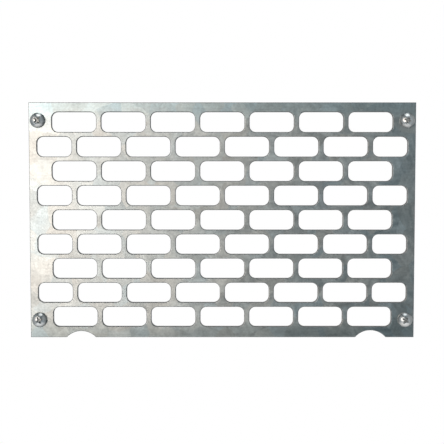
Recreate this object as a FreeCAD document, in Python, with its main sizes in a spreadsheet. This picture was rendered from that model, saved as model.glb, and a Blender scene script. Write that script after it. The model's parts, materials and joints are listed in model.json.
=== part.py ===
import FreeCAD, Part

import math
import os

import Sketcher
from FreeCAD import Rotation, Vector

# A queen excluder: a punched sheet-metal plate that is screwed upright over a bee passage.
# Worker bees walk through its rows of rounded slots, which are too low for a queen's thorax.
#
# Frame, in millimetres: seen from the front, +X is to the right and +Z is up, and the front
# faces -Y. The origin is in the middle of the four screws, on the plate's back face, so the
# plate lies from y = -plate_thickness to y = 0 and the screws' shanks point along +Y.

SIZES = {
    # the sheet
    "plate_width": 82.2,
    "plate_height": 50.2,
    "plate_thickness": 0.8,
    # the slots, and the metal left between them
    "slot_gap": 4.2,  # the clear height that keeps a queen back
    "slot_length": 9.4,
    "slot_corner": 1.3,
    "slot_bridge": 1.1,  # metal between two slots of a row
    "row_bar": 1.0,  # metal between two rows
    "rows_rise": 0.15,  # how far the rows sit above the plate's middle
    "edge_strip": 1.7,  # metal outside the short slots
    # the two shallow arcs in the lower edge
    "notch_radius": 4.3,
    "left_notch_depth": 1.35,
    "left_notch_inset": 10.8,
    "right_notch_depth": 1.5,
    "right_notch_inset": 9.3,
    "notch_web": 0.3,  # least metal between a notch and the bottom row
    # where the screws stand, and their play in the plate's holes
    "head_side_land": 0.3,  # plate that shows outside each head
    "head_end_land": 2.2,  # plate that shows above the upper heads and below the lower ones
    "head_row_gap": 0.7,  # least metal between a head and a long row
    "screw_play": 0.1,
    # the screws
    "screw_length": 8.0,  # under the head
    "shank_diameter": 1.6,
    "neck_flare": 0.1,  # the shank is this much thicker, in radius, under the head
    "plain_shank": 1.6,  # behind the plate, before the thread
    "thread_pitch": 0.7,
    "thread_depth": 0.25,
    "thread_crest": 0.12,  # flat left on top of the thread
    "point_length": 1.7,
    "point_flat": 0.1,  # radius of the blunt tip
    "head_diameter": 3.2,
    "head_height": 1.25,
    "head_rim": 0.35,  # straight side of the head, under its dome
    "recess_span": 1.9,  # across the cross recess, at the top of the head
    "recess_floor_span": 0.7,
    "recess_wing": 0.42,
    "recess_floor_wing": 0.3,
    "recess_depth": 0.8,
    "recess_eye": 0.45,  # radius of the round opening in the middle of the cross
}

# How far each screw was turned when it was driven home, in degrees.
SCREW_TURNS = {
    "screw_top_left": 43,
    "screw_top_right": 17,
    "screw_bottom_left": 62,
    "screw_bottom_right": 30,
}

# Rules that several sketches and patterns share, in terms of the spreadsheet.
HALF_WIDTH = "Sizes.plate_width / 2"
HALF_HEIGHT = "Sizes.plate_height / 2"
PITCH_X = "(Sizes.slot_length + Sizes.slot_bridge)"
PITCH_Z = "(Sizes.slot_gap + Sizes.row_bar)"
SCREW_X = "(Sizes.plate_width / 2 - Sizes.head_side_land - Sizes.head_diameter / 2)"
SCREW_Z = "(Sizes.plate_height / 2 - Sizes.head_end_land - Sizes.head_diameter / 2)"
SHANK = "Sizes.shank_diameter / 2"
TIP = "(Sizes.screw_length - Sizes.plate_thickness)"
HEAD_TOP = "(Sizes.plate_thickness + Sizes.head_height)"


def make_sheet(doc):
    """The spreadsheet that every sketch and feature is bound to."""
    sheet = doc.addObject("Spreadsheet::Sheet", "Sizes")
    for row, (alias, value) in enumerate(SIZES.items(), start=1):
        sheet.set(f"A{row}", alias)
        sheet.set(f"B{row}", str(value))
        sheet.setAlias(f"B{row}", alias)
    doc.recompute()
    return sheet


def count_slots(sheet):
    """Slots in a long row, and rows: as many as the plate has room for.

    Beside the long rows there is room for the screw heads, and under the bottom row for the
    notches. The rows are an odd number, so that the top and the bottom one are long rows.
    """
    least_side = sheet.head_side_land + sheet.head_diameter + sheet.head_row_gap
    least_end = max(sheet.left_notch_depth, sheet.right_notch_depth) + sheet.notch_web
    width = sheet.plate_width - 2 * least_side + sheet.slot_bridge
    height = sheet.plate_height - 2 * (least_end + sheet.rows_rise) + sheet.row_bar
    slots = math.floor(width / (sheet.slot_length + sheet.slot_bridge))
    rows = math.floor(height / (sheet.slot_gap + sheet.row_bar))
    return slots, rows - 1 + rows % 2


# Sketching


def new_sketch(body, plane, name, offset=None):
    """A sketch on one of the body's own origin planes, or offset along that plane's normal."""
    sketch = body.newObject("Sketcher::SketchObject", name)
    origin_plane = next(part for part in body.Origin.OriginFeatures if part.Role == plane)
    sketch.AttachmentSupport = (origin_plane, [""])
    sketch.MapMode = "FlatFace"
    if offset:
        sketch.setExpression("AttachmentOffset.Base.z", offset)
    return sketch


def bind(sketch, kind, *args, rule):
    """A dimension that follows a rule, args being what the constraint takes before its value."""
    value = float(sketch.evalExpression(rule))
    index = sketch.addConstraint(Sketcher.Constraint(kind, *args, value))
    name = f"{kind}_{index}"
    sketch.renameConstraint(index, name)
    sketch.setExpression(f"Constraints.{name}", rule)


def tie(sketch, kind, *args):
    sketch.addConstraint(Sketcher.Constraint(kind, *args))


def pin(sketch, geometry, end, at):
    """Holds one end of a curve at a place, given as two rules."""
    bind(sketch, "DistanceX", -1, 1, geometry, end, rule=at[0])
    bind(sketch, "DistanceY", -1, 1, geometry, end, rule=at[1])


def spot(sketch, at):
    return Vector(*(float(sketch.evalExpression(rule)) for rule in at), 0)


def draw_lines(sketch, corners):
    """Straight lines from corner to corner, each corner given as two rules."""
    spots = [spot(sketch, at) for at in corners]
    lines = []
    for start, end, at in zip(spots, spots[1:], corners):
        line = sketch.addGeometry(Part.LineSegment(start, end))
        if lines:
            tie(sketch, "Coincident", lines[-1], 2, line, 1)
        pin(sketch, line, 1, at)
        lines.append(line)
    return lines


def draw_outline(sketch, corners):
    """A closed outline of straight lines."""
    lines = draw_lines(sketch, corners + corners[:1])
    tie(sketch, "Coincident", lines[-1], 2, lines[0], 1)


def draw_box(sketch, half_width, half_height):
    """A rectangle round the sketch's origin."""
    left, low = f"-({half_width})", f"-({half_height})"
    corners = [(left, low), (half_width, low), (half_width, half_height), (left, half_height)]
    draw_outline(sketch, corners)


def draw_circle(sketch, at, radius):
    centre = spot(sketch, at)
    size = float(sketch.evalExpression(radius))
    circle = sketch.addGeometry(Part.Circle(centre, Vector(0, 0, 1), size))
    pin(sketch, circle, 3, at)
    bind(sketch, "Radius", circle, rule=radius)


def draw_slot(sketch, right, top, length):
    """A rounded slot with its right end and its top at the given rules."""
    radius = float(sketch.evalExpression("Sizes.slot_corner"))
    far = spot(sketch, (f"{right} - Sizes.slot_corner", f"{top} - Sizes.slot_corner"))
    wide = float(sketch.evalExpression(f"{length} - 2 * Sizes.slot_corner"))
    tall = float(sketch.evalExpression("Sizes.slot_gap - 2 * Sizes.slot_corner"))
    arcs = []
    for n, (back, down) in enumerate([(0, 0), (wide, 0), (wide, tall), (0, tall)]):
        circle = Part.Circle(far - Vector(back, down, 0), Vector(0, 0, 1), radius)
        arcs.append(sketch.addGeometry(Part.ArcOfCircle(circle, n * math.pi / 2, (n + 1) * math.pi / 2)))
    for n, (arc, following) in enumerate(zip(arcs, arcs[1:] + arcs[:1])):
        start, end = sketch.getPoint(arc, 2), sketch.getPoint(following, 1)
        side = sketch.addGeometry(Part.LineSegment(start, end))
        tie(sketch, "Tangent", arc, 2, side, 1)
        tie(sketch, "Tangent", side, 2, following, 1)
        tie(sketch, "Vertical" if n % 2 else "Horizontal", side)
        if n:
            tie(sketch, "Equal", arcs[0], arc)
    bind(sketch, "Radius", arcs[0], rule="Sizes.slot_corner")
    bind(sketch, "DistanceX", arcs[1], 3, arcs[0], 3, rule=f"{length} - 2 * Sizes.slot_corner")
    bind(sketch, "DistanceY", arcs[2], 3, arcs[1], 3, rule="Sizes.slot_gap - 2 * Sizes.slot_corner")
    pin(sketch, arcs[0], 3, (f"{right} - Sizes.slot_corner", f"{top} - Sizes.slot_corner"))


# The plate


def punch(body, sketch, name):
    """Cuts a sketch right through the plate."""
    cut = body.newObject("PartDesign::Pocket", name)
    cut.Profile = sketch
    cut.Reversed = True
    cut.setExpression("Length", "Sizes.plate_thickness")
    return cut


def repeat(body, cut, name, across, down):
    """Repeats a cut leftwards and downwards, each given as (how many, spacing rule)."""
    sketch = cut.Profile[0]
    pattern = body.newObject("PartDesign::LinearPattern", name)
    pattern.Originals = [cut]
    pattern.Direction = (sketch, ["H_Axis"])
    pattern.Direction2 = (sketch, ["V_Axis"])
    pattern.Reversed = pattern.Reversed2 = True
    pattern.Occurrences, spacing = across
    pattern.setExpression("Length", f"{pattern.Occurrences - 1} * ({spacing})")
    pattern.Occurrences2, spacing = down
    pattern.setExpression("Length2", f"{pattern.Occurrences2 - 1} * ({spacing})")
    body.Tip = pattern
    return pattern


def make_plate(doc, slots, rows):
    body = doc.addObject("PartDesign::Body", "Plate")
    body.Label = "excluder_plate"

    outline = new_sketch(body, "XZ_Plane", "Outline")
    draw_box(outline, HALF_WIDTH, HALF_HEIGHT)
    blank = body.newObject("PartDesign::Pad", "Blank")
    blank.Profile = outline
    blank.setExpression("Length", "Sizes.plate_thickness")

    for side, sign in (("left", "-"), ("right", "")):
        sketch = new_sketch(body, "XZ_Plane", side + "_notch")
        across = f"{sign}({HALF_WIDTH} - Sizes.{side}_notch_inset)"
        up = f"Sizes.{side}_notch_depth - Sizes.notch_radius - {HALF_HEIGHT}"
        draw_circle(sketch, (across, up), "Sizes.notch_radius")
        punch(body, sketch, side + "_notch_cut")

    sketch = new_sketch(body, "XZ_Plane", "screw_hole")
    draw_circle(sketch, (SCREW_X, SCREW_Z), f"{SHANK} + Sizes.neck_flare + Sizes.screw_play")
    cut = punch(body, sketch, "screw_hole_cut")
    repeat(body, cut, "screw_holes", (2, f"2 * {SCREW_X}"), (2, f"2 * {SCREW_Z}"))

    # Rows of whole slots take turns with rows half a pitch over, which end in short slots.
    long_rows = (rows + 1) // 2
    short_rows = rows - long_rows
    top = f"({rows} * {PITCH_Z} - Sizes.row_bar) / 2 + Sizes.rows_rise"
    next_top = f"{top} - {PITCH_Z}"
    long_end = f"({slots} * {PITCH_X} - Sizes.slot_bridge) / 2"
    short_end = f"({slots - 1} * {PITCH_X} - Sizes.slot_bridge) / 2"
    strip = f"({HALF_WIDTH} - Sizes.edge_strip)"
    end_length = f"({strip} - {short_end} - Sizes.slot_bridge)"
    for name, right, height, length, across, down in (
        ("long_row", long_end, top, "Sizes.slot_length", (slots, PITCH_X), long_rows),
        ("short_row", short_end, next_top, "Sizes.slot_length", (slots - 1, PITCH_X), short_rows),
        ("row_end", strip, next_top, end_length, (2, f"2 * {strip} - {end_length}"), short_rows),
    ):
        sketch = new_sketch(body, "XZ_Plane", name + "_slot")
        draw_slot(sketch, right, height, length)
        cut = punch(body, sketch, name + "_cut")
        repeat(body, cut, name + "_slots", across, (down, f"2 * {PITCH_Z}"))
    return body


# The screws


def make_recess(body):
    """The cross recess: two tapered wings, and a round opening where they meet."""
    mouth = new_sketch(body, "XZ_Plane", "recess_mouth", offset=HEAD_TOP)
    draw_box(mouth, "Sizes.recess_span / 2", "Sizes.recess_wing / 2")
    floor = new_sketch(body, "XZ_Plane", "recess_floor", offset=f"{HEAD_TOP} - Sizes.recess_depth")
    draw_box(floor, "Sizes.recess_floor_span / 2", "Sizes.recess_floor_wing / 2")
    wing = body.newObject("PartDesign::SubtractiveLoft", "recess_wing")
    wing.Profile = mouth
    wing.Sections = [floor]

    cross = body.newObject("PartDesign::PolarPattern", "recess_cross")
    cross.Originals = [wing]
    cross.Axis = (mouth, ["N_Axis"])
    cross.Angle = 90
    cross.Occurrences = 2
    body.Tip = cross

    sketch = new_sketch(body, "XY_Plane", "recess_eye_profile")
    draw_outline(sketch, [
        ("0", f"-{HEAD_TOP}"),
        ("0", f"Sizes.recess_depth - {HEAD_TOP}"),
        ("Sizes.recess_eye", f"-{HEAD_TOP}"),
    ])
    eye = body.newObject("PartDesign::Groove", "recess_eye")
    eye.Profile = sketch
    eye.ReferenceAxis = (sketch, ["V_Axis"])
    eye.Angle = 360
    body.Tip = eye


def make_screw(doc, name, side, level):
    """A pan-head screw along +Y, its head's underside on the plate's front.

    Under the head the shank is a little thicker, as a cone, inside the plate's hole.
    """
    body = doc.addObject("PartDesign::Body", name.title().replace("_", ""))
    body.Label = name

    profile = new_sketch(body, "XY_Plane", "profile")
    flank = [
        ("Sizes.head_diameter / 2", "-(Sizes.plate_thickness + Sizes.head_rim)"),
        ("Sizes.head_diameter / 2", "-Sizes.plate_thickness"),
        (f"{SHANK} + Sizes.neck_flare", "-Sizes.plate_thickness"),
        (SHANK, "0"),
        (SHANK, f"{TIP} - Sizes.point_length"),
        ("Sizes.point_flat", TIP),
        ("0", TIP),
        ("0", f"-{HEAD_TOP}"),
    ]
    lines = draw_lines(profile, flank)
    rim, crown = spot(profile, flank[0]), spot(profile, flank[-1])
    drop = rim.y - crown.y
    radius = (rim.x ** 2 + drop ** 2) / (2 * drop)
    centre = crown + Vector(0, radius, 0)
    circle = Part.Circle(centre, Vector(0, 0, 1), radius)
    rim_angle = math.atan2(rim.y - centre.y, rim.x)
    dome = profile.addGeometry(Part.ArcOfCircle(circle, -math.pi / 2, rim_angle))
    tie(profile, "PointOnObject", dome, 3, -2)
    tie(profile, "Coincident", dome, 1, lines[-1], 2)
    tie(profile, "Coincident", dome, 2, lines[0], 1)
    pin(profile, dome, 1, flank[-1])
    blank = body.newObject("PartDesign::Revolution", "turned_blank")
    blank.Profile = profile
    blank.ReferenceAxis = (profile, ["V_Axis"])
    blank.Angle = 360

    make_recess(body)

    # The thread is what a V groove leaves as it winds from the tip to the plain shank.
    groove = new_sketch(body, "XY_Plane", "groove")
    outside = f"{SHANK} + Sizes.thread_depth / 4"
    half = "(Sizes.thread_pitch - Sizes.thread_crest) / 2"
    draw_outline(groove, [
        (f"{SHANK} - Sizes.thread_depth", TIP),
        (outside, f"{TIP} - {half}"),
        (outside, f"{TIP} + {half}"),
    ])
    thread = body.newObject("PartDesign::SubtractiveHelix", "thread")
    thread.Profile = groove
    thread.ReferenceAxis = (groove, ["V_Axis"])
    thread.Mode = "pitch-height-angle"
    thread.Reversed = True
    thread.setExpression("Pitch", "Sizes.thread_pitch")
    thread.setExpression("Height", f"{TIP} - Sizes.plain_shank - {half}")
    body.Tip = thread

    body.setExpression("Placement.Base.x", f"{side} * {SCREW_X}")
    body.setExpression("Placement.Base.z", f"{level} * {SCREW_Z}")
    body.Placement.Rotation = Rotation(Vector(0, 1, 0), SCREW_TURNS[name])
    return body


def check(doc, bodies):
    """Stops the build if any feature failed, because a recompute doesn't."""
    failed = [item.Name for item in doc.Objects if {"Invalid", "Error"} & set(item.State)]
    if failed:
        raise RuntimeError(f"features that failed: {failed}")
    for body in bodies:
        if body.Shape.isNull() or not body.Shape.isValid() or len(body.Shape.Solids) != 1:
            raise RuntimeError(f"{body.Label} is not one valid solid")


def main():
    doc = FreeCAD.newDocument("QueenExcluder")
    sheet = make_sheet(doc)
    slots, rows = count_slots(sheet)
    bodies = [
        make_plate(doc, slots, rows),
        make_screw(doc, "screw_top_left", -1, 1),
        make_screw(doc, "screw_top_right", 1, 1),
        make_screw(doc, "screw_bottom_left", -1, -1),
        make_screw(doc, "screw_bottom_right", 1, -1),
    ]
    doc.recompute()
    check(doc, bodies)

    os.makedirs("parts", exist_ok=True)
    for body in bodies:
        body.Shape.exportStep(f"parts/{body.Label}.step")
        box = body.Shape.BoundBox
        low = [round(v, 3) for v in (box.XMin, box.YMin, box.ZMin)]
        high = [round(v, 3) for v in (box.XMax, box.YMax, box.ZMax)]
        print(body.Label, "from", low, "to", high, "volume", round(body.Shape.Volume, 3))


main()
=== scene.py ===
# %% [markdown]
# # A queen excluder in punched galvanised sheet
#
# A queen excluder keeps a queen bee out of one part of a hive and lets her workers through.
# This one is a single flat plate, punched with rows of rounded slots and screwed upright over
# a bee passage by its four corners. Everything depends on the slots: their clear height is a
# little more than a worker's thorax and a little less than a queen's.
#
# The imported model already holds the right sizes. This file gives it its looks: the rolled
# edges that a punch leaves, real screws, and the metal.

import json
import math

import bmesh
import bpy
from mathutils import Matrix, Vector


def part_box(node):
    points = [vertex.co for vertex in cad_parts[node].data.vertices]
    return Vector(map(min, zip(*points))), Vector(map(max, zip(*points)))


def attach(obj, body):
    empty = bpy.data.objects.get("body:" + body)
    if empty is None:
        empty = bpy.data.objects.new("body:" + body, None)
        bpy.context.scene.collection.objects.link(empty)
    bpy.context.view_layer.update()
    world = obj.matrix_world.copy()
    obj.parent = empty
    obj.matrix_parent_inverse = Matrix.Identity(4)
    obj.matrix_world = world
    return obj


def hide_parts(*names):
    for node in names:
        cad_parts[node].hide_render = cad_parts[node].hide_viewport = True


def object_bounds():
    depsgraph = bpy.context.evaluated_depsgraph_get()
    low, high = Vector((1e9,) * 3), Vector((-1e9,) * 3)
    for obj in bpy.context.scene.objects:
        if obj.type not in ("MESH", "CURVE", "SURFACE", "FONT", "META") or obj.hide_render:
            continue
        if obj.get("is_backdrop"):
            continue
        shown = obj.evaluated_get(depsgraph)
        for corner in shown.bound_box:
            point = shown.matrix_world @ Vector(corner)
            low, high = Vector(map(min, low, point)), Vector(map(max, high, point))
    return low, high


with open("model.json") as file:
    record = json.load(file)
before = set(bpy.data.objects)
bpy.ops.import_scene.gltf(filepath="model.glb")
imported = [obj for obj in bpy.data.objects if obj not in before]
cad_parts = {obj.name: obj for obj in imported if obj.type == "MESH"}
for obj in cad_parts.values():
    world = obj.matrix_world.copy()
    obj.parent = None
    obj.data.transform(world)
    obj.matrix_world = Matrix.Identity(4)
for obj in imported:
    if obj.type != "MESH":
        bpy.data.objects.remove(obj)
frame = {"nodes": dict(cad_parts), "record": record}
cad_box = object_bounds()
MM = 0.001

plate_low, plate_high = (corner / MM for corner in map(Vector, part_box("excluder_plate")))
print("plate, in mm:", plate_low[:], plate_high[:])

# %% [markdown]
# ## Where the holes are
#
# The plate's slots, screw holes and notches are already in the model, so they are measured
# there and not typed in again. Every hole is a closed ring of wall faces, whose normals lie in
# the plane of the sheet. Walking from face to face over shared edges gathers each ring, and
# the ring's box says where the hole is. The model's mesh is loose triangles, so a copy of it
# has its doubles merged first, or no face would have a neighbour.

# %% Measure the holes
def merged_copy(node):
    """A bmesh copy of a node, in millimetres, with its loose triangles joined up."""
    bm = bmesh.new()
    bm.from_mesh(frame["nodes"][node].data)
    bmesh.ops.remove_doubles(bm, verts=bm.verts, dist=1e-7)
    bmesh.ops.scale(bm, verts=bm.verts, vec=(1 / MM,) * 3)
    bm.normal_update()
    return bm


def is_wall(face):
    return abs(face.normal.y) < 0.5


def rings_of_walls(bm):
    """The wall faces, gathered into rings that hang together."""
    waiting = {face for face in bm.faces if is_wall(face)}
    rings = []
    while waiting:
        ring, front = set(), {waiting.pop()}
        while front:
            ring |= front
            edges = {edge for face in front for edge in face.edges}
            front = {other for edge in edges for other in edge.link_faces} & waiting
            waiting -= front
        rings.append(ring)
    return rings


def box_of(ring):
    """The left, right, low and high limits of a ring of faces."""
    across = [vert.co.x for face in ring for vert in face.verts]
    up = [vert.co.z for face in ring for vert in face.verts]
    return min(across), max(across), min(up), max(up)


plate_copy = merged_copy("excluder_plate")
rings = sorted(rings_of_walls(plate_copy), key=len)
boxes = [box_of(ring) for ring in rings]
plate_width = plate_high.x - plate_low.x
SCREW_HOLE_MOST = 3.0  # no slot is as short as this
holes = [box for box in boxes if box[1] - box[0] < SCREW_HOLE_MOST]
slots = [box for box in boxes if SCREW_HOLE_MOST <= box[1] - box[0] < plate_width / 2]
slot_gap = slots[0][3] - slots[0][2]
print(len(slots), "slots and", len(holes), "screw holes; clear height", round(slot_gap, 3), "mm")

# %% [markdown]
# ## Corners and notches
#
# Two more measures shape the outline. A slot's corner radius is how far its straight upper
# side starts from its end. Each notch is an arc in the lower edge, and an arc is known from its
# two ends and its crown: with half its chord c and its rise s, the radius is (c*c + s*s) / 2s.

# %% Measure the corners and the notches
NEAR = 0.001  # mm; closer than this counts as the same place

slot_ring = next(ring for ring in rings if box_of(ring) == slots[0])
slot_left, slot_top = slots[0][0], slots[0][3]
on_top = [vert.co.x for face in slot_ring for vert in face.verts if vert.co.z > slot_top - NEAR]
slot_corner = min(on_top) - slot_left
print("slot corner radius", round(slot_corner, 3), "mm")


def notch_in(points):
    """A notch's left end, right end, crown height and radius, from the points on its arc."""
    left, right = min(x for x, z in points), max(x for x, z in points)
    crown = max(z for x, z in points)
    half_chord, rise = (right - left) / 2, crown - plate_low.z
    return left, right, crown, (half_chord ** 2 + rise ** 2) / (2 * rise)


outer_ring = next(ring for ring in rings if box_of(ring)[1] - box_of(ring)[0] > plate_width / 2)
rim_points = {(vert.co.x, vert.co.z) for face in outer_ring for vert in face.verts}
inside = [(x, z) for x, z in rim_points if abs(x) < plate_high.x - NEAR and z < plate_high.z - NEAR]
notches = [notch_in([point for point in inside if point[0] * side > 0]) for side in (-1, 1)]
for notch in notches:
    print("notch from", [round(number, 2) for number in notch])
plate_copy.free()

# %% [markdown]
# ## The punched sheet
#
# A punch presses on the front of the sheet before it shears through, so the front edge of each
# hole is drawn in and rounded, the wall is bright and straight, and the back edge is nearly
# sharp. That rounded edge catches the light all round every slot, and it is what makes the
# plate read as punched metal and not as a cut-out picture.
#
# The front could be one big face with the holes cut by a boolean, but rounding its edges would
# then drag long thin triangles about. Instead each hole gets a narrow land first: a rounded
# face is inset, and its middle is taken away. The gaps between the lands are filled flat, and
# the rounding later moves only the tidy quads of the lands.

# %% Helpers for the lands
LAND = 0.32  # mm, width of the land round each hole
CORNER_STEPS = 8  # straight pieces in a quarter turn

FACE_FORWARD = Matrix.Rotation(math.pi / 2, 4, "X")  # turns a flat shape's +Z to the front, -Y


def rounded_face(bm, left, right, low, high, radius):
    """A flat rounded rectangle in the plane of the sheet's front."""
    place = Matrix.Translation(((left + right) / 2, 0, (low + high) / 2))
    size = Matrix.Diagonal((right - left, high - low, 1, 1))
    corners = bmesh.ops.create_grid(
        bm, x_segments=1, y_segments=1, size=0.5, matrix=place @ FACE_FORWARD @ size)["verts"]
    rounded = bmesh.ops.bevel(bm, geom=corners, offset=radius, offset_type="OFFSET",
                              affect="VERTICES", segments=CORNER_STEPS, profile=0.5, material=-1)
    return rounded["verts"][0].link_faces[0]


def make_land(bm, face):
    """Insets a face and takes its middle away. Gives the ring's outer and inner edges."""
    made = bmesh.ops.inset_region(bm, faces=[face], thickness=LAND, use_even_offset=True,
                                  use_boundary=True)["faces"]
    inner = list(face.edges)
    bmesh.ops.delete(bm, geom=[face], context="FACES_ONLY")
    outer = [edge for ring in made for edge in ring.edges if edge.is_boundary and edge not in inner]
    return outer, inner


# %% Lay the lands out round every hole
sheet = bmesh.new()
fill_edges = []
for left, right, low, high in slots:
    face = rounded_face(sheet, left - LAND, right + LAND, low - LAND, high + LAND, slot_corner + LAND)
    fill_edges += make_land(sheet, face)[0]
for left, right, low, high in holes:
    place = Matrix.Translation(((left + right) / 2, 0, (low + high) / 2))
    circle = bmesh.ops.create_circle(sheet, cap_ends=True, segments=4 * CORNER_STEPS,
                                     radius=(right - left) / 2 + LAND, matrix=place @ FACE_FORWARD)
    fill_edges += make_land(sheet, circle["verts"][0].link_faces[0])[0]
print(len(fill_edges), "edges to fill up to")

# %% [markdown]
# The outline is walked round once, from corner to corner. At a notch the walk is swept: a spin
# of the last point about the notch's centre leaves the arc behind it.

# %% Draw the outline, and give it a land too
def walk_to(bm, last, place):
    """Adds a point and the edge that leads to it."""
    point = bm.verts.new(place)
    if last:
        bm.edges.new((last, point))
    return point


first = last = walk_to(sheet, None, (plate_low.x, 0, plate_low.z))
for left, right, crown, radius in notches:
    last = walk_to(sheet, last, (left, 0, plate_low.z))
    centre = Vector(((left + right) / 2, 0, crown - radius))
    sweep = 2 * math.asin((right - left) / 2 / radius)
    swept = bmesh.ops.spin(sheet, geom=[last], cent=centre, axis=(0, 1, 0), angle=sweep,
                           steps=2 * CORNER_STEPS, use_duplicate=False)
    last = next(item for item in swept["geom_last"] if isinstance(item, bmesh.types.BMVert))
    print("notch ends at", [round(number, 3) for number in last.co])
for x, z in ((plate_high.x, plate_low.z), (plate_high.x, plate_high.z), (plate_low.x, plate_high.z)):
    last = walk_to(sheet, last, (x, 0, z))
sheet.edges.new((last, first))

loose = [edge for edge in sheet.edges if edge.is_wire]
outline = bmesh.ops.contextual_create(sheet, geom=loose)["faces"][0]
fill_edges += make_land(sheet, outline)[1]

# %% Fill between the lands, give the sheet its thickness, and close it
bmesh.ops.triangle_fill(sheet, edges=fill_edges, use_beauty=True, normal=(0, -1, 0))
area = sum(face.calc_area() for face in sheet.faces)
bmesh.ops.translate(sheet, verts=sheet.verts, vec=(0, plate_low.y, 0))
back = bmesh.ops.extrude_face_region(sheet, geom=sheet.faces[:])["geom"]
back_verts = [item for item in back if isinstance(item, bmesh.types.BMVert)]
bmesh.ops.translate(sheet, verts=back_verts, vec=(0, plate_high.y - plate_low.y, 0))
bmesh.ops.recalc_face_normals(sheet, faces=sheet.faces)
print("front area", round(area, 1), "mm2; volume", round(sheet.calc_volume(), 1), "mm3;",
      "closed:", all(edge.is_manifold for edge in sheet.edges))

# %% [markdown]
# Now the edges. The front ones are rounded by the punch, with a larger radius round the holes
# than along the sheared outline. The back ones only lose their burr.

# %% Round the front edges and break the back ones
PUNCH_ROLL = 0.15  # mm
SHEAR_ROLL = 0.12
BURR = 0.04


def rim_edges(bm, height):
    """The edges at one face of the sheet where it turns into a wall."""
    level = [edge for edge in bm.edges if all(abs(vert.co.y - height) < NEAR for vert in edge.verts)]
    return [edge for edge in level if any(is_wall(face) for face in edge.link_faces)]


def on_outline(edge):
    """Whether an edge lies on the plate's outline, a notch included."""
    middle = (edge.verts[0].co + edge.verts[1].co) / 2
    beside = abs(middle.x) > plate_high.x - NEAR or abs(middle.z) > plate_high.z - NEAR
    return beside or any(
        left < middle.x < right and middle.z < crown + NEAR for left, right, crown, radius in notches)


def round_edges(bm, edges, size, steps):
    bmesh.ops.bevel(bm, geom=edges, offset=size, offset_type="OFFSET", affect="EDGES",
                    segments=steps, profile=0.5, material=-1)


sheet.normal_update()
front_rim = rim_edges(sheet, plate_low.y)
back_rim = rim_edges(sheet, plate_high.y)
print(len(front_rim), "front edges and", len(back_rim), "back edges")
round_edges(sheet, [edge for edge in front_rim if not on_outline(edge)], PUNCH_ROLL, 4)
round_edges(sheet, [edge for edge in front_rim if edge.is_valid and on_outline(edge)], SHEAR_ROLL, 3)
round_edges(sheet, [edge for edge in back_rim if edge.is_valid], BURR, 1)
print(len(sheet.faces), "faces, closed:", all(edge.is_manifold for edge in sheet.edges),
      "volume", round(sheet.calc_volume(), 1), "mm3")

# %% [markdown]
# ## From bmesh to piece
#
# Every piece is made in millimetres and becomes metres at the end. Smooth shading would blur
# the real corners, so an edge that turns by more than a set angle is marked sharp, and the
# rolled edges, made of small turns, stay smooth. Where a flat face meets a rolled edge, the
# line between them is sharp too, because the flat would otherwise look like a cushion.

# %% Helpers that make an object and finish a piece
SHARP = math.radians(32)
FLAT = 0.9999  # how nearly a flat face's normal points through the sheet


def as_object(bm, name):
    """A plain object round a bmesh."""
    mesh = bpy.data.meshes.new(name)
    bm.to_mesh(mesh)
    bm.free()
    made = bpy.data.objects.new(name, mesh)
    bpy.context.collection.objects.link(made)
    return made


def is_flat(face):
    """Whether a face lies square to the sheet's thickness."""
    return abs(face.normal.y) > FLAT


def finish_mesh(bm, name):
    """Shades a bmesh, turns it into metres and gives it an object at the origin."""
    for face in bm.faces:
        face.smooth = True
    for edge in bm.edges:
        flats = sum(is_flat(face) for face in edge.link_faces)
        edge.smooth = edge.calc_face_angle(0) < SHARP and flats != 1
    bmesh.ops.scale(bm, verts=bm.verts, vec=(MM,) * 3)
    return as_object(bm, name)


# %% [markdown]
# The walls of the holes and of the outline show sheared steel and not zinc, so they take a second material
# slot. The rolled edges get a number of their own, which rises from 0 on the flat to 1 where the roll ends.
# The zinc reads it to grow duller where the punch has stretched it, and to paint the rolled edges dark, as
# shade.

# %% Mark the walls and the rolled edges, and make the plate
roll = sheet.verts.layers.float.new("rolled")
for vert in sheet.verts:
    below_front = vert.co.y - plate_low.y
    at_back = vert.co.y > plate_high.y - NEAR
    vert[roll] = 0 if at_back else min(1, max(0, below_front / PUNCH_ROLL))
for face in sheet.faces:
    straight = min(vert.co.y for vert in face.verts) > plate_low.y + SHEAR_ROLL - NEAR
    face.material_index = 1 if is_wall(face) and straight else 0
plate = finish_mesh(sheet, "punched_plate")
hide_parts("excluder_plate")
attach(plate, "plate")
print("plate:", len(plate.data.polygons), "faces")

# %% [markdown]
# ## The screws
#
# Four small pan-head wood screws hold the plate. A screw like this is cold-headed from wire,
# its cross recess is struck by a punch, and its thread is rolled. The head and shank are one
# profile turned about the screw's axis, so they are drawn as half a section and spun. The
# dome is an arc, made by sweeping the crown's point about the dome's centre.

# %% Read the screw's sizes, and turn its blank
SCREW_NAMES = [node for node in frame["nodes"] if node.startswith("screw_")]
studs = next(mount for mount in frame["record"]["mounts"] if mount["name"] == "wall_screws")
shank_radius = studs["dims"]["stud_r_mm"]
screw_low, screw_high = (corner / MM for corner in map(Vector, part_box(SCREW_NAMES[0])))
head_radius = (screw_high.x - screw_low.x) / 2
tip = screw_high.y

HEAD_HEIGHT = 1.23  # mm, before the recess is struck into the crown
HEAD_RIM = 0.35  # the straight side of the head, under its dome
head_top = plate_low.y - HEAD_HEIGHT
NECK_FLARE = 0.1
CORE_RADIUS = 0.55
CREST_RADIUS = 0.79
PLAIN_SHANK = 1.6  # where the plain shank ends, behind the plate
SHOULDER = 0.3  # length of the taper from shank to core
POINT = 1.7
TIP_RADIUS = 0.06
TURN_STEPS = 64
DOME_STEPS = 12
RIM_EASE = 0.07  # how far the head's two rims are rounded

rim_y = plate_low.y - HEAD_RIM
drop = rim_y - head_top
dome_radius = (head_radius ** 2 + drop ** 2) / (2 * drop)


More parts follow.
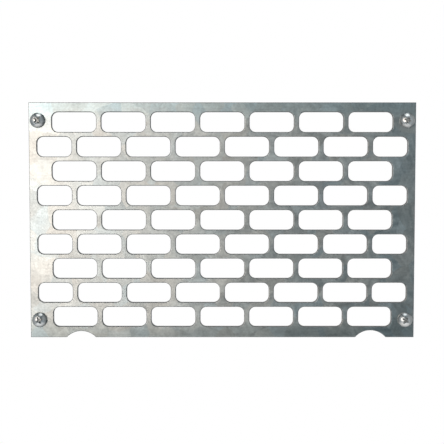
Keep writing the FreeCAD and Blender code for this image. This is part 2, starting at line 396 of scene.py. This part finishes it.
def half_section():
    """Half the screw's section, from the crown of its head to its tip, as a chain of edges."""
    bm = bmesh.new()
    crown = walk_to(bm, None, (0, head_top, 0))
    swept = bmesh.ops.spin(bm, geom=[crown], cent=(0, head_top + dome_radius, 0), axis=(0, 0, 1),
                           angle=math.asin(head_radius / dome_radius), steps=DOME_STEPS,
                           use_duplicate=False)
    rim = next(item for item in swept["geom_last"] if isinstance(item, bmesh.types.BMVert))
    print("dome ends at", [round(number, 3) for number in rim.co])
    under = last = walk_to(bm, rim, (head_radius, plate_low.y, 0))
    turns = [
        (shank_radius + NECK_FLARE, plate_low.y),
        (shank_radius, plate_high.y),
        (shank_radius, PLAIN_SHANK),
        (CORE_RADIUS, PLAIN_SHANK + SHOULDER),
        (CORE_RADIUS, tip - POINT),
        (TIP_RADIUS, tip - TIP_RADIUS / 2),
        (0, tip),
    ]
    for radius, y in turns:
        last = walk_to(bm, last, (radius, y, 0))
    bmesh.ops.bevel(bm, geom=[rim, under], offset=RIM_EASE, offset_type="OFFSET", affect="VERTICES",
                    segments=3, profile=0.5, material=-1)
    return bm


blank = half_section()
bmesh.ops.spin(blank, geom=blank.verts[:] + blank.edges[:], cent=(0, 0, 0), axis=(0, 1, 0),
               angle=2 * math.pi, steps=TURN_STEPS, use_merge=True, use_duplicate=False)
bmesh.ops.remove_doubles(blank, verts=blank.verts, dist=NEAR)
bmesh.ops.recalc_face_normals(blank, faces=blank.faces)
print("blank:", len(blank.faces), "faces, closed:", all(edge.is_manifold for edge in blank.edges),
      "volume", round(blank.calc_volume(signed=True), 2), "mm3")

# %% [markdown]
# ## The thread
#
# A thread is a ridge that advances by one pitch in each turn. A spin can do that too: its dvec
# moves every step along the axis, so the ridge's narrow section, swept round the shank,
# becomes a helix. The ridge then fades out at both ends, towards the plain shank and over the
# point, because a rolled thread has no blunt start.

# %% Wind the thread
PITCH = 0.7
RIDGE_HALF = 0.26  # half the ridge's width at its foot
CREST_HALF = 0.05
THREAD_START = PLAIN_SHANK + SHOULDER
FADE = 0.6  # length over which the ridge rises and falls
BARE_TIP = 0.35  # the end of the point, which the ridge stays off
ROOT = 0.12  # how deep the ridge's foot reaches into the core
LEAST_RADIUS = 0.01

length = tip - BARE_TIP - THREAD_START
steps = round(length / PITCH * TURN_STEPS)
ridge = bmesh.new()
foot = CORE_RADIUS - ROOT
section = [ridge.verts.new((radius, THREAD_START + y, 0)) for radius, y in (
    (foot, -RIDGE_HALF), (CREST_RADIUS, -CREST_HALF), (CREST_RADIUS, CREST_HALF), (foot, RIDGE_HALF))]
cap = ridge.faces.new(section)
bmesh.ops.spin(ridge, geom=[cap], cent=(0, 0, 0), axis=(0, 1, 0), dvec=(0, PITCH / TURN_STEPS, 0),
               angle=2 * math.pi * steps / TURN_STEPS, steps=steps, use_merge=False,
               use_duplicate=False)


def core_at(y):
    """The core's radius at a height, over the point too."""
    past = max(0, y - (tip - POINT)) / (POINT - TIP_RADIUS / 2)
    return CORE_RADIUS + (TIP_RADIUS - CORE_RADIUS) * min(1, past)


for vert in ridge.verts:
    radius = math.hypot(vert.co.x, vert.co.z)
    y = vert.co.y
    rise = min(1, max(0, (y - THREAD_START) / FADE), max(0, (THREAD_START + length - y) / FADE))
    wanted = core_at(y) + (radius - CORE_RADIUS) * (rise if radius > CORE_RADIUS else 1)
    vert.co.x *= max(LEAST_RADIUS, wanted) / radius
    vert.co.z *= max(LEAST_RADIUS, wanted) / radius
bmesh.ops.recalc_face_normals(ridge, faces=ridge.faces)
print("ridge:", len(ridge.faces), "faces,", round(steps / TURN_STEPS, 1), "turns, closed:",
      all(edge.is_manifold for edge in ridge.edges), "volume", round(ridge.calc_volume(signed=True), 2))

# %% [markdown]
# ## The cross recess
#
# The punch that strikes the recess is a cross with tapering wings. A loft between two drawn
# crosses would make it, but a grid is shorter: nine squares without the four at the corners
# are a cross, and extruding it to a smaller floor gives the taper. Its four inner corners are
# eased, as on a worn punch.

# %% Make the punch
RECESS_SPAN = 1.9
RECESS_WING = 0.42
FLOOR_SPAN = 0.7
FLOOR_WING = 0.3
RECESS_DEPTH = 0.8
ABOVE = 0.25  # how far the punch stands out of the head
PUNCH_CORNER = 0.1

punch = bmesh.new()
bmesh.ops.create_grid(punch, x_segments=3, y_segments=3, size=1, matrix=FACE_FORWARD)
corner_squares = [face for face in punch.faces
                  if abs(face.calc_center_median().x) > 0.5 and abs(face.calc_center_median().z) > 0.5]
bmesh.ops.delete(punch, geom=corner_squares, context="FACES")
bottom = bmesh.ops.extrude_face_region(punch, geom=punch.faces[:], use_keep_orig=True)
floor_verts = {item for item in bottom["geom"] if isinstance(item, bmesh.types.BMVert)}


def cross_size(along, depth):
    """Where a grid line of -1 to 1 lies on the cross at a depth below the crown."""
    part = depth / RECESS_DEPTH
    span = RECESS_SPAN + (FLOOR_SPAN - RECESS_SPAN) * part
    wing = RECESS_WING + (FLOOR_WING - RECESS_WING) * part
    return math.copysign((span if abs(along) > 0.5 else wing) / 2, along)


for vert in punch.verts:
    depth = RECESS_DEPTH if vert in floor_verts else -ABOVE
    vert.co = (cross_size(vert.co.x, depth), head_top + depth, cross_size(vert.co.z, depth))
bmesh.ops.recalc_face_normals(punch, faces=punch.faces)
inner = [edge for edge in punch.edges
         if abs(edge.verts[0].co.y - edge.verts[1].co.y) > NEAR and not edge.is_convex]
bmesh.ops.bevel(punch, geom=inner, offset=PUNCH_CORNER, offset_type="OFFSET", affect="EDGES",
                segments=3, profile=0.5, material=-1)
print("punch:", len(inner), "inner corners, closed:", all(edge.is_manifold for edge in punch.edges))


# %% [markdown]
# Blender's Boolean modifier strikes the recess into the blank and grows the thread on it. It
# works between objects, so both tools get an object for a moment. One finished screw is then
# copied to the four corners, each at the turn where its driver stopped.

# %% Strike the recess and join the thread
def combined(first, steps):
    """A bmesh of the first object after Boolean steps of (object, operation)."""
    for other, operation in steps:
        step = first.modifiers.new(operation, "BOOLEAN")
        step.object = other
        step.operation = operation
        step.solver = "EXACT"
    bpy.context.view_layer.update()
    result = bmesh.new()
    result.from_mesh(first.evaluated_get(bpy.context.evaluated_depsgraph_get()).to_mesh())
    for used in [first] + [other for other, operation in steps]:
        bpy.data.objects.remove(used)
    return result


blank_object = as_object(blank, "blank")
thread_and_recess = [
    (as_object(ridge, "ridge"), "UNION"),
    (as_object(punch, "punch"), "DIFFERENCE"),
]
screw = combined(blank_object, thread_and_recess)
bmesh.ops.dissolve_degenerate(screw, edges=screw.edges, dist=NEAR)
print("screw:", len(screw.faces), "faces, closed:", all(edge.is_manifold for edge in screw.edges),
      "volume", round(screw.calc_volume(signed=True), 2), "mm3")

# %% Ease the mouth of the recess
MOUTH_EASE = 0.035
MOUTH_REACH = 0.75 * head_radius  # the mouth lies nearer to the axis than this
MOUTH_TURN = math.radians(30)  # it turns by more than this, and the dome by less

mouth = []
for edge in screw.edges:
    middle = (edge.verts[0].co + edge.verts[1].co) / 2
    on_dome = middle.y < rim_y - NEAR and math.hypot(middle.x, middle.z) < MOUTH_REACH
    if on_dome and edge.calc_face_angle_signed(0) > MOUTH_TURN:
        mouth.append(edge)
bmesh.ops.bevel(screw, geom=mouth, offset=MOUTH_EASE, offset_type="OFFSET", affect="EDGES",
                segments=2, profile=0.5, material=-1, clamp_overlap=True)
print(len(mouth), "edges round the mouth; closed:", all(edge.is_manifold for edge in screw.edges),
      "volume", round(screw.calc_volume(signed=True), 2), "mm3")

# %% [markdown]
# The recess is painted dark as shade, and the head's rim is painted dark as a reflection of the dim room.
# Both belong to a place on the screw, which is the same on all four screws however they are turned. So the
# screw's mesh carries them as two numbers for each point, and the plating reads those further down.

# %% Keep how deep each point lies inside the head
FULLY_SUNK_DEPTH = 0.45  # mm; from here down the recess gets its full painted shade and roughness

sunk = screw.verts.layers.float.new("sunk")
for vert in screw.verts:
    radius = math.hypot(vert.co.x, vert.co.z)
    if radius < RECESS_SPAN / 2 and vert.co.y < plate_low.y - NEAR:
        dome_y = head_top + dome_radius - math.sqrt(dome_radius ** 2 - radius ** 2)
        vert[sunk] = min(1, max(0, (vert.co.y - dome_y) / FULLY_SUNK_DEPTH))
print("deepest point:", round(max(vert[sunk] for vert in screw.verts), 2))

# %% Keep how near each point lies to the head's rim
REFLECTION_STARTS = 0.45  # share of the head's radius where the painted dark reflection begins
REFLECTION_FULL = 0.95  # share of the radius past which the painted dark reflection is full

# This number paints the head's rim dark, as a reflection of the dim room.
rim_reflection = screw.verts.layers.float.new("rim_reflection")
for vert in screw.verts:
    share = math.hypot(vert.co.x, vert.co.z) / head_radius
    if vert.co.y < plate_low.y + NEAR:
        vert[rim_reflection] = min(1, max(0, (share - REFLECTION_STARTS) / (REFLECTION_FULL - REFLECTION_STARTS)))
print(sum(vert[rim_reflection] == 1 for vert in screw.verts), "points are fully painted dark")

# %% [markdown]
# Each screw stopped at a turn of its own when it was driven home, so the crosses don't line up.

# %% Drive the four screws
TURNS = {
    "screw_top_left": 43,
    "screw_top_right": 17,
    "screw_bottom_left": 62,
    "screw_bottom_right": 30,
}
screws = []
for node in SCREW_NAMES:
    low, high = (corner / MM for corner in map(Vector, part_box(node)))
    place = Vector(((low.x + high.x) / 2, 0, (low.z + high.z) / 2))
    driven = screw.copy()
    spin = Matrix.Rotation(math.radians(TURNS[node]), 4, "Y")
    bmesh.ops.transform(driven, matrix=Matrix.Translation(place) @ spin, verts=driven.verts)
    piece = finish_mesh(driven, node.replace("screw", "wood_screw"))
    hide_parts(node)
    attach(piece, node)
    screws.append(piece)
    print(piece.name, "at", [round(number, 2) for number in place], len(piece.data.polygons), "faces")
screw.free()

# %% [markdown]
# ## Materials
#
# All materials are built from nodes, so they need no pictures. They read Object coordinates.
# Every object sits at the origin, so those are places on the plate in metres, and the pattern
# stays on the metal when a screw moves. Each value that is the same all over a surface is set
# on the shader itself. The next cell has short ways to add the few kinds of node used.

# %% Helpers for node trees
def add_node(tree, kind, sockets=None, **settings):
    """Adds a node, sets it up and fills its sockets with numbers or with other nodes' outputs."""
    node = tree.nodes.new("ShaderNode" + kind)
    for name, value in settings.items():
        setattr(node, name, value)
    for name, value in (sockets or {}).items():
        if isinstance(value, bpy.types.NodeSocket):
            tree.links.new(value, node.inputs[name])
        else:
            node.inputs[name].default_value = value
    return node


def number(tree, operation, *values):
    """One Math node on its values."""
    return add_node(tree, "Math", dict(enumerate(values)), operation=operation).outputs[0]


def total(tree, first, *others):
    """Adds values up, one Math node after another."""
    for other in others:
        first = number(tree, "ADD", first, other)
    return first


def from_to(tree, value, low, high, new_low, new_high):
    """Moves a value from one range to another and keeps it inside."""
    sockets = {"Value": value, "From Min": low, "From Max": high, "To Min": new_low, "To Max": new_high}
    return add_node(tree, "MapRange", sockets).outputs["Result"]


def mixed(tree, part, first, second, blend="MIX"):
    """Mixes two colours."""
    mix = add_node(tree, "Mix", {0: part, 6: first, 7: second}, data_type="RGBA", blend_type=blend)
    return mix.outputs[2]


def tinted(tree, colour, tint):
    """A colour times another one."""
    return mixed(tree, 1.0, colour, tint, "MULTIPLY")


def as_shade(tree, value):
    """A number as the grey that a colour is tinted by."""
    return add_node(tree, "CombineColor", {"Red": value, "Green": value, "Blue": value}).outputs[0]


def scaled_place(tree, place, scale):
    """The place stretched by its own amount along each axis."""
    return add_node(tree, "Mapping", {"Vector": place, "Scale": scale}).outputs["Vector"]


def noise(tree, place, scale, detail=3.0, roughness=0.55):
    """Cloudy noise from 0 to 1; the scale is how many clouds there are in a metre."""
    sockets = {"Vector": place, "Scale": scale, "Detail": detail, "Roughness": roughness}
    return add_node(tree, "TexNoise", sockets).outputs["Fac"]


def spread(tree, cloud, low, high):
    """Spreads a noise over a range. Most of a noise lies from 0.3 to 0.7."""
    return from_to(tree, cloud, 0.3, 0.7, low, high)


def metal(name):
    """A new metallic material, its tree, its shader and the place on the object."""
    made = bpy.data.materials.new(name)
    made.use_nodes = True
    tree = made.node_tree
    tree.nodes.clear()
    shader = add_node(tree, "BsdfPrincipled", {"Metallic": 1.0})
    output = add_node(tree, "OutputMaterial")
    tree.links.new(shader.outputs[0], output.inputs["Surface"])
    place = add_node(tree, "TexCoord").outputs["Object"]
    return made, tree, shader, place


def raise_bumps(tree, shader, height, distance):
    """Bumps of at most a distance in metres."""
    bump = add_node(tree, "Bump", {"Height": height, "Distance": distance, "Strength": 1.0})
    tree.links.new(bump.outputs["Normal"], shader.inputs["Normal"])


def grey(value):
    """A neutral colour."""
    return (value, value, value, 1.0)


# %% [markdown]
# ### Galvanised sheet
#
# Zinc freezes on steel as flat crystals, the spangle. Each crystal tilts its own way, so each
# is a little lighter or darker, warmer or bluer, and rougher or smoother than the next, with
# faint feathers that run along it. Voronoi cells with a warped place make the crystals; their
# random colour gives every crystal its own number, and a noise that is turned by that number
# gives the feathers. Rolling lines, a fine grain and large stains from handling come on top.
# The sheet is also tinted bluer along its top border and darker along its lower border.

# %% The crystals
CRYSTALS = 215.0  # in a metre; the counts below are in a metre too
WARPS = 260.0
RAGGED = 0.0024  # metres; how far a crystal's border may wander
FEATHERS = (170, 170, 1200)

zinc, tree, shader, place = metal("galvanised_spangle")
warp = add_node(tree, "TexNoise", {"Vector": place, "Scale": WARPS, "Detail": 2.0})
centred = add_node(tree, "VectorMath", {0: warp.outputs["Color"], 1: (0.5, 0.5, 0.5)}, operation="SUBTRACT")
pushed = add_node(tree, "VectorMath", {0: centred.outputs[0], "Scale": RAGGED}, operation="SCALE")
ragged = add_node(tree, "VectorMath", {0: place, 1: pushed.outputs[0]}, operation="ADD").outputs[0]
crystal = add_node(tree, "TexVoronoi", {"Vector": ragged, "Scale": CRYSTALS}, feature="F1")
own = add_node(tree, "SeparateColor", {"Color": crystal.outputs["Color"]}).outputs
turn = number(tree, "MULTIPLY", own["Green"], 2 * math.pi)
turned = add_node(tree, "VectorRotate", {"Vector": place, "Axis": (0, 1, 0), "Angle": turn}).outputs[0]
feather = noise(tree, scaled_place(tree, turned, FEATHERS), 1.0, 1.0, 0.5)

# %% The sheet's brightness
GRAIN = 2300.0
MOTTLE = 620.0
ROLLING = (55, 900, 2300)
STAINS = 38.0

grain = noise(tree, place, GRAIN, 2.0)
mottle = noise(tree, place, MOTTLE, 2.0)
rolling = noise(tree, scaled_place(tree, place, ROLLING), 1.0, 3.0, 0.6)
stain = noise(tree, place, STAINS, 4.0)
bright = total(
    tree,
    from_to(tree, own["Red"], 0, 1, -0.11, 0.09),
    spread(tree, feather, -0.07, 0.07),
    spread(tree, rolling, -0.05, 0.05),
    spread(tree, grain, -0.09, 0.09),
    spread(tree, mottle, -0.08, 0.08),
    from_to(tree, stain, 0.35, 0.65, 0.93, 1.03),
)

# %% The sheet's colour
COOL_PATCHES = 95.0
WARM_ZINC = (0.632, 0.645, 0.632, 1)
COOL_ZINC = (0.57, 0.65, 0.685, 1)

cool = total(
    tree,
    from_to(tree, own["Blue"], 0.25, 1, 0, 0.65),
    from_to(tree, noise(tree, place, COOL_PATCHES, 3.0), 0.42, 0.62, 0, 0.4),
)
zinc_colour = tinted(tree, mixed(tree, cool, WARM_ZINC, COOL_ZINC), as_shade(tree, bright))

# %% Its bluer top border, darker lower border, and rims painted dark as shade
BORDER = (0.0205, 0.024)  # metres from the sheet's middle over which its borders change colour
UPPER_BORDER_TINT = (0.91, 1.0, 1.03, 1)
LOWER_BORDER_TINT = (0.73, 0.77, 0.78, 1)
RIM_SHADE = (0.17, 0.175, 0.175, 1)

up = total(
    tree,
    add_node(tree, "SeparateXYZ", {"Vector": place}).outputs["Z"],
    from_to(tree, stain, 0, 1, -0.0025, 0.0025),
    from_to(tree, mottle, 0, 1, -0.001, 0.001),
)
at_top = from_to(tree, up, BORDER[0], BORDER[1], 0, 1)
zinc_colour = mixed(tree, at_top, zinc_colour, tinted(tree, zinc_colour, UPPER_BORDER_TINT))
at_bottom = from_to(tree, up, -BORDER[1], -BORDER[0], 1, 0)
zinc_colour = mixed(tree, at_bottom, zinc_colour, tinted(tree, zinc_colour, LOWER_BORDER_TINT))
rolled = add_node(tree, "Attribute", attribute_name="rolled").outputs["Fac"]
off_dull_shaded_rim = from_to(tree, rolled, 0.002, 0.07, 1, 0)
# The rolled rims are painted dark all round every hole, as shade.
zinc_colour = mixed(tree, off_dull_shaded_rim, RIM_SHADE, zinc_colour)
tree.links.new(zinc_colour, shader.inputs["Base Color"])

# %% The sheet's gloss and relief
SHEET_RELIEF = 0.000008  # metres

gloss = total(
    tree,
    from_to(tree, own["Green"], 0, 1, 0.325, 0.38),
    spread(tree, feather, -0.02, 0.025),
    spread(tree, stain, 0.02, -0.015),
    from_to(tree, off_dull_shaded_rim, 0, 1, 0.25, 0),
)
tree.links.new(gloss, shader.inputs["Roughness"])
relief = total(tree, number(tree, "MULTIPLY", grain, 0.5), number(tree, "MULTIPLY", rolling, 0.5))
raise_bumps(tree, shader, relief, SHEET_RELIEF)
plate.data.materials.append(zinc)
print("galvanised sheet:", len(tree.nodes), "nodes")

# %% [markdown]
# ### Punched walls
#
# A punch cuts the first third or so of the sheet cleanly and tears the rest, so each wall has a bright
# burnished band near the front and a dull, darker fracture behind it. Both bands are also painted dark, as
# the shade that lies on the walls, and the burnished band stays the lighter one. Fine scratches run
# straight through the sheet, the way that the punch went.

# %% Sheared steel
SCRATCHES = (3800, 350, 3800)  # in a metre, along and across the stroke
# Both bands are painted dark, as shade on the walls.
SHADED_BURNISH = (0.24, 0.245, 0.245, 1)
SHADED_FRACTURE = (0.15, 0.148, 0.145, 1)
TEAR = (-0.00042, -0.00028)  # metres along Y, where one band gives way to the other
TEAR_WANDERS = 0.00025
WALL_RELIEF = 0.00001

sheared, tree, shader, place = metal("sheared_steel")
shader.inputs["Metallic"].default_value = 0.4
shader.inputs["Specular IOR Level"].default_value = 0.25
through = add_node(tree, "SeparateXYZ", {"Vector": place}).outputs["Y"]
scratch = noise(tree, scaled_place(tree, place, SCRATCHES), 1.0, 3.0, 0.6)
ragged_line = total(tree, through, number(tree, "MULTIPLY", scratch, TEAR_WANDERS))
torn = from_to(tree, ragged_line, TEAR[0], TEAR[1], 0, 1)
streak = as_shade(tree, spread(tree, scratch, 0.75, 1.15))
tree.links.new(tinted(tree, mixed(tree, torn, SHADED_BURNISH, SHADED_FRACTURE), streak), shader.inputs["Base Color"])
tree.links.new(from_to(tree, torn, 0, 1, 0.5, 0.72), shader.inputs["Roughness"])
raise_bumps(tree, shader, scratch, WALL_RELIEF)
plate.data.materials.append(sheared)
print("sheared steel:", len(tree.nodes), "nodes")

# %% [markdown]
# ### Zinc-plated screws
#
# The screws are smoother and brighter than the sheet, with a thin bluish plating. Drivers and barrel
# plating leave fine scratches. The recess is painted dark as shade, and the head's rim is painted dark as a
# reflection of the dim room. The next cell finds both places from numbers that the screw's mesh carries.

# %% Bright plating
SCUFFS = (900, 2200, 3200)
CLOUDS = 700.0
WARM_PLATING = (0.74, 0.735, 0.72, 1)
COOL_PLATING = (0.68, 0.72, 0.745, 1)
DARK_RIM_REFLECTION = (0.15, 0.155, 0.15, 1)
RECESS_SHADE = (0.10, 0.10, 0.095, 1)
SCREW_RELIEF = 0.000006

plating, tree, shader, place = metal("bright_zinc_plating")
scuff = noise(tree, scaled_place(tree, place, SCUFFS), 1.0, 4.0, 0.65)
cloud = noise(tree, place, CLOUDS, 3.0)
plated = mixed(tree, from_to(tree, cloud, 0.35, 0.65, 0, 1), WARM_PLATING, COOL_PLATING)
plated = tinted(tree, plated, as_shade(tree, spread(tree, scuff, 0.86, 1.06)))
rim_reflection = add_node(tree, "Attribute", attribute_name="rim_reflection").outputs["Fac"]
# The head's rim is painted dark, as a reflection of the dim room.
dark_rim_share = number(tree, "MULTIPLY", rim_reflection, spread(tree, cloud, 0.6, 0.95))
plated = mixed(tree, dark_rim_share, plated, DARK_RIM_REFLECTION)
sunk = add_node(tree, "Attribute", attribute_name="sunk").outputs["Fac"]
# The recess is painted dark by its depth, as shade.
recess_shade_share = number(tree, "MULTIPLY", sunk, spread(tree, cloud, 0.1, 0.5))
tree.links.new(mixed(tree, recess_shade_share, plated, RECESS_SHADE), shader.inputs["Base Color"])
polish = total(tree, spread(tree, scuff, 0.285, 0.35), number(tree, "MULTIPLY", sunk, 0.2))
tree.links.new(polish, shader.inputs["Roughness"])
raise_bumps(tree, shader, scuff, SCREW_RELIEF)
for piece in screws:
    piece.data.materials.append(plating)
print("zinc plating:", len(tree.nodes), "nodes")

# %% [markdown]
# ## Studio
#
# Bare metal shows mostly what stands round it. The backdrop and the floor are white, and the
# side of the studio that the sheet faces is a dim room, lighter at its sides, with one large
# soft lamp on the left. So the sheet runs from bright warm zinc on the left to dark cool zinc
# on the right, as a real one does beside a window. The world gives white to the camera, and to
# reflections it gives white behind the sheet and the room in front of it. Matt surfaces, which
# mirror nothing, get a plain soft fill.

# %% The world
BACKDROP = (1, 1, 1, 1)
DIM_ROOM = (0.035, 0.075, 0.092, 1)
ROOM_SIDES = (0.45, 0.49, 0.51, 1)
SOFT_FILL = (0.59, 0.60, 0.61, 1)
SIDES = (0.38, 0.7)  # how far aside a direction points where the room grows lighter
BEHIND = (0.05, 0.55)  # how far back it points where the backdrop takes over


def rays(tree):
    """Whether a ray comes from the camera, and whether it is a mirrored one or one let through."""
    seen = add_node(tree, "LightPath").outputs
    mirrored_ray = number(tree, "MAXIMUM", seen["Is Glossy Ray"], seen["Is Transmission Ray"])
    return seen["Is Camera Ray"], mirrored_ray


world = bpy.data.worlds.new("studio")
world.use_nodes = True
bpy.context.scene.world = world
tree = world.node_tree
tree.nodes.clear()
direction = add_node(tree, "TexCoord").outputs["Generated"]
axes = add_node(tree, "SeparateXYZ", {"Vector": direction}).outputs
aside = from_to(tree, number(tree, "ABSOLUTE", axes["X"]), SIDES[0], SIDES[1], 0, 1)
room = mixed(tree, aside, DIM_ROOM, ROOM_SIDES)
mirrored = mixed(tree, from_to(tree, axes["Y"], BEHIND[0], BEHIND[1], 0, 1), room, BACKDROP)
camera_ray, mirrored_ray = rays(tree)
light = mixed(tree, mirrored_ray, SOFT_FILL, mirrored)
light = mixed(tree, camera_ray, light, BACKDROP)
sky = add_node(tree, "Background", {"Color": light, "Strength": 1.0})
output = add_node(tree, "OutputWorld")
tree.links.new(sky.outputs[0], output.inputs["Surface"])

# %% [markdown]
# The floor is plain and pale. Part of its light is its own, for the camera and for
# reflections, so that it joins the white backdrop without a line; the rest is the lamps'
# light, so a shadow still shows on it. It is a small round table top, so that the dim room
# beyond it still shows in the metal.

# %% The floor
FLOOR_DROP = 0.26  # metres below the sheet's middle
FLOOR_RADIUS = 0.30
FLOOR_GREY = 0.8
FLOOR_GLOW = 0.37

table_top = bmesh.new()
bmesh.ops.create_circle(table_top, cap_ends=True, segments=96, radius=FLOOR_RADIUS,
                        matrix=Matrix.Translation((0, 0, -FLOOR_DROP)))
floor = as_object(table_top, "floor")
floor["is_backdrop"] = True

pale = bpy.data.materials.new("pale_floor")
pale.use_nodes = True
tree = pale.node_tree
tree.nodes.clear()
matt = add_node(tree, "BsdfDiffuse", {"Color": grey(FLOOR_GREY)})
glow = add_node(tree, "Emission", {"Color": grey(1.0), "Strength": FLOOR_GLOW})
nothing = add_node(tree, "Emission", {"Color": grey(0.0), "Strength": 0.0})
direct = number(tree, "MAXIMUM", *rays(tree))
own_light = add_node(tree, "MixShader", {0: direct, 1: nothing.outputs[0], 2: glow.outputs[0]})
both = add_node(tree, "AddShader", {0: matt.outputs[0], 1: own_light.outputs[0]})
output = add_node(tree, "OutputMaterial")
tree.links.new(both.outputs[0], output.inputs["Surface"])
floor.data.materials.append(pale)

# %% The lamps
def soft_lamp(name, place, size, watts, colour):
    """A square area lamp that faces the middle of the sheet."""
    lamp = bpy.data.lights.new(name, "AREA")
    lamp.size = size
    lamp.energy = watts
    lamp.color = colour
    made = bpy.data.objects.new(name, lamp)
    bpy.context.collection.objects.link(made)
    made.location = place
    made.rotation_euler = (-Vector(place)).to_track_quat("-Z", "Y").to_euler()


soft_lamp("window", place=(-0.42, -0.75, 0.09), size=0.62, watts=4.0, colour=(1.0, 0.89, 0.80))
soft_lamp("overhead", place=(0.1, -0.2, 0.9), size=0.6, watts=3.0, colour=(0.97, 0.99, 1.0))

# %% [markdown]
# ## Camera
#
# The camera stands almost square to the sheet, a little above its middle, and close enough
# for the bottom edge to look narrower than the top one.

# %% Place the camera
CAMERA_DISTANCE = 0.2140
CAMERA_HEIGHT_ANGLE = math.radians(3.5)
CAMERA_AIM = Vector((-0.00007, 0, -0.00034))
CAMERA_LENS = 81

lens = bpy.data.cameras.new("camera")
lens.lens = CAMERA_LENS
lens.sensor_width = 36
lens.clip_start = 0.01
camera = bpy.data.objects.new("camera", lens)
bpy.context.collection.objects.link(camera)
back = Vector((0, -math.cos(CAMERA_HEIGHT_ANGLE), math.sin(CAMERA_HEIGHT_ANGLE)))
camera.location = CAMERA_AIM + back * CAMERA_DISTANCE
camera.rotation_euler = (-back).to_track_quat("-Z", "Y").to_euler()
bpy.context.scene.camera = camera
bpy.context.scene.view_settings.view_transform = "Standard"

# %% Print the sizes
visual_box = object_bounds()
boxes_kept = {
    "cad": [list(corner) for corner in cad_box],
    "visual": [list(corner) for corner in visual_box],
}
for name, (low, high) in boxes_kept.items():
    print(name, [round((b - a) * 1000, 2) for a, b in zip(low, high)], "mm")
